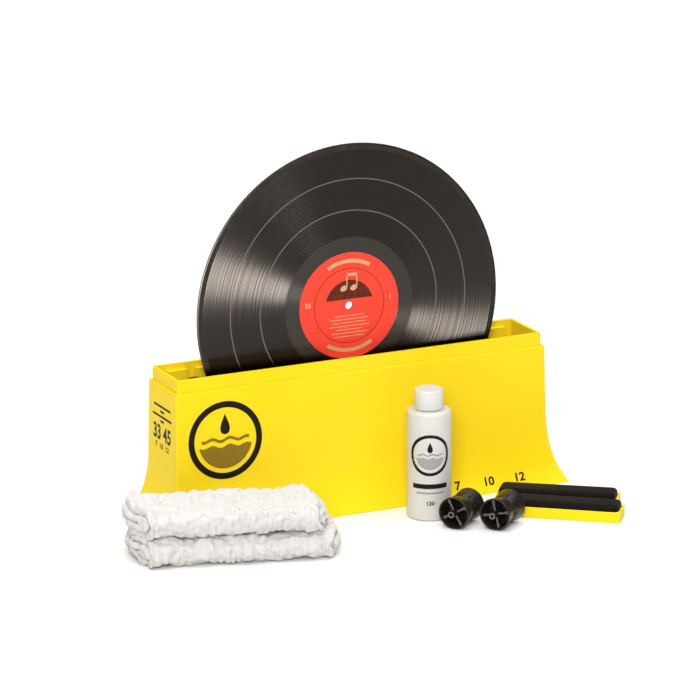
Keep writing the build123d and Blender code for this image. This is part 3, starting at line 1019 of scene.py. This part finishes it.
def across_folds(distance):
    """(y, z, outward y, outward z) at a distance along the cloth's folded width."""
    run = 2 * cloth_half_depth
    outer, inner = 1.5 * layer_gap, 0.5 * layer_gap
    if distance < run:
        return -cloth_half_depth + distance, -outer, 0.0, -1.0
    distance -= run
    if distance < pi * outer:
        angle = distance / outer - pi / 2
        return cloth_half_depth + outer * cos(angle), outer * sin(angle), cos(angle), sin(angle)
    distance -= pi * outer
    if distance < run:
        return cloth_half_depth - distance, outer, 0.0, 1.0
    distance -= run
    if distance < pi * inner:
        angle = distance / inner
        y = -cloth_half_depth - inner * sin(angle)
        return y, layer_gap + inner * cos(angle), -sin(angle), cos(angle)
    distance -= pi * inner
    if distance < run:
        return -cloth_half_depth + distance, inner, 0.0, -1.0
    distance -= run
    if distance < pi * inner:
        angle = pi / 2 - distance / inner
        return cloth_half_depth + inner * cos(angle), inner * sin(angle), -cos(angle), -sin(angle)
    distance -= pi * inner
    return cloth_half_depth - distance, -inner, 0.0, 1.0


def along_fold(distance, half_length):
    """(x, shift out of the layer) at a distance along the cloth's doubled length."""
    run = 2 * half_length - fold_bulge
    if run <= distance < run + pi * fold_bulge:
        angle = (distance - run) / fold_bulge
        return fold_bulge * (1 - sin(angle)) - half_length, fold_bulge * cos(angle)
    first = distance < run
    x = half_length - distance if first else distance - 2 * run - pi * fold_bulge + half_length
    near = max(0.0, min(1.0, 1 - (half_length - fold_bulge - abs(x)) / bulge_length))
    shift = ply_gap / 2 + (fold_bulge - ply_gap / 2) * near * near * (3 - 2 * near)
    closing = max(0.0, (x - half_length) / fold_bulge + 1)
    shift *= sqrt(max(0.0, 1 - closing**2))
    return x, shift if first else -shift


def crease(at, x_scale, other_scale):
    """Puffy ridges with sharp valleys between them, from about -0.5 to 1."""
    spot = Vector((at.x * x_scale, at.y * other_scale, at.z * other_scale))
    return 2.6 * abs(noise.noise(spot)) - 0.5


def sway(at, scale, reach):
    """A smooth random shift of up to about reach metres, in waves of 1 / scale metres."""
    return noise.noise_vector(at * scale) * reach


def drawn_in(x, y, z, half_length):
    """How far a point near an end of the bundle lies back from a square-cut end."""
    end = min(1.0, abs(x) / half_length)
    corner, recess = right_corners if x > 0 else left_front_corner if y > 0 else left_rear_corner
    over = max(0.0, min(abs(y), cloth_half_depth) - (cloth_half_depth - corner)) / corner
    wound = sqrt(max(0.0, abs(y) - cloth_half_depth) ** 2 + z**2) / (1.5 * layer_gap)
    past = max(0.0, abs(y) - cloth_half_depth + round_start)
    edge = min(1.0, past / (1.5 * layer_gap + round_start))
    rounding = end_round * (1 - sqrt(1 - edge**2))
    return (recess * over**2 + rounding) * end**4 + end_dome * wound**2 * end**6


def folded_cloth(name, node, body, seed, half_length, puff, slant):
    """Lay a flat grid of cloth along its folds, then crinkle and settle it."""
    low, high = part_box(node)
    middle = (low + high) / 2 + cloth_shift
    width = 8 * cloth_half_depth + 2.5 * pi * layer_gap
    length = 4 * half_length + (pi - 2) * fold_bulge
    turn = Matrix.Rotation(radians(cloth_turn), 3, "Z")
    shift = Vector((seed * 3.1, seed * 1.7, seed * 2.3))
    bm = bmesh.new()
    bmesh.ops.create_grid(bm, x_segments=cloth_columns, y_segments=cloth_rows, size=0.5)
    for vert in bm.verts:
        x, ply = along_fold((vert.co.x + 0.5) * length, half_length)
        y, z, out_y, out_z = across_folds((vert.co.y + 0.5) * width)
        end = min(1.0, abs(x) / half_length)
        x -= copysign(drawn_in(x, y, z, half_length), x)
        taper = end_taper * max(0.0, 1 - (half_length - abs(x)) / taper_length) ** 2
        y -= copysign(max(0.0, abs(y) - cloth_half_depth) * taper, y)
        at = Vector((x, 0.003 - y - ply * out_y, (z + ply * out_z) * (1 - taper)))
        at.x -= slant * at.z / layer_gap * end**4 * (x > 0)
        at.z *= 1 + puff * max(0.0, -x / half_length) ** 3
        out = Vector((0, -out_y, out_z))
        place = at + shift
        at += (sway(place, *slow_sway) + sway(place, *quick_sway)) * Vector((1, 1, 0.5))
        pleats = crease(place, *side_pleats) * abs(out_y) + crease(place, *face_pleats) * abs(out_z)
        at += out * (pleats + crease(place, *puckers)) * crease_height
        at += sway(place, *weave_sway)
        vert.co = middle + turn @ at
    bottom = low.z + settled_height
    for vert in bm.verts:
        if vert.co.z < bottom:
            vert.co.z = bottom + (vert.co.z - bottom) * settled_share
    return set_down(bm, name, body, cotton, [node], 180.0)


noise.seed_set(3)
lower_cloth = folded_cloth("lower_cloth_folded", "cloth_lower", "lower_cloth", 1, 0.0945, 0.0, 0.0)
upper_cloth = folded_cloth("upper_cloth_folded", "cloth_upper", "upper_cloth", 2, 0.0885, 0.22, 0.0025)

# Studio ---------------------------------------------------------------------------------------
# A seamless pale sweep, broad soft lights and a long lens from the front left, a little above.
# Three small warm lights reach the record alone and draw the highlight across its grooves,
# where the key light is left out.

floor_mesh = bmesh.new()
bmesh.ops.create_grid(floor_mesh, x_segments=1, y_segments=1, size=9.0)
floor_finish, shader, place = new_finish("studio_floor", Specular_IOR_Level=0.1)
sweep = speckle(floor_finish, place, 3.0)
paint(floor_finish, shader, sweep, (0.80, 0.80, 0.80), (0.82, 0.82, 0.82))
shader.inputs["Roughness"].default_value = 0.9
floor_data = bpy.data.meshes.new("floor")
floor_mesh.to_mesh(floor_data)
floor_mesh.free()
floor_data.materials.append(floor_finish)
floor = bpy.data.objects.new("floor", floor_data)
bpy.context.scene.collection.objects.link(floor)

world = bpy.data.worlds.new("studio")
world.use_nodes = True
glow = world.node_tree.nodes["Background"].inputs
glow["Color"].default_value = (1, 1, 1, 1)
glow["Strength"].default_value = 0.08
bpy.context.scene.world = world


def softbox(name, place, target, size, power, spread, color=(1, 1, 1)):
    """A rectangular softbox that faces a target; a grid can narrow its spread."""
    light = bpy.data.lights.new(name, "AREA")
    light.shape = "RECTANGLE"
    light.size, light.size_y = size
    light.energy = power
    light.spread = radians(spread)
    light.color = color
    lamp = bpy.data.objects.new(name, light)
    facing = (Vector(target) - Vector(place)).to_track_quat("-Z", "Y")
    lamp.matrix_world = Matrix.Translation(place) @ facing.to_matrix().to_4x4()
    bpy.context.scene.collection.objects.link(lamp)
    return lamp


softbox("overhead_softbox", (0.3, 0.5, 3.2), (0.3, 0.5, 0), (10.0, 10.0), 367, 110)
key = softbox("key_softbox", (-1.45, -2.72, 1.5), (0, 0, 0.12), (1.1, 1.1), 76, 180)
warm = (1.0, 0.87, 0.76)
on_disc = (0, 0, 0.18)
strips = [
    softbox("groove_strip", (-1.05, -2.2, 0.285), on_disc, (0.30, 0.46), 610, 180, warm),
    softbox("groove_glow", (-1.35, -1.95, 0.06), on_disc, (0.7, 0.1), 205, 180, warm),
    softbox("groove_fill", (0.26, -2.5, 0.9), on_disc, (0.5, 0.5), 16, 180, warm),
]
for lamps, state in (([key], "EXCLUDE"), (strips, "INCLUDE")):
    linked = bpy.data.collections.new(f"grooves_{state.lower()}d")
    linked.objects.link(disc_piece)
    linked.collection_objects[0].light_linking.link_state = state
    for lamp in lamps:
        lamp.light_linking.receiver_collection = linked

view = bpy.data.cameras.new("camera")
view.sensor_width = 36.0
view.lens = 210.25
view.clip_end = 50.0
camera = bpy.data.objects.new("camera", view)
camera_place = (-1.53484, -3.25481, 1.13786)
yaw, pitch, roll = radians(25.26), radians(15.486), radians(-0.43)
ahead = Vector((sin(yaw) * cos(pitch), cos(yaw) * cos(pitch), -sin(pitch)))
level = Vector((cos(yaw), -sin(yaw), 0))
above = level.cross(ahead)
right = level * cos(roll) + above * sin(roll)
upward = above * cos(roll) - level * sin(roll)
camera.matrix_world = Matrix.Translation(camera_place) @ (
    Matrix((right, upward, -ahead)).transposed().to_4x4()
)
bpy.context.scene.collection.objects.link(camera)
bpy.context.scene.camera = camera
bpy.context.scene.view_settings.view_transform = "Standard"
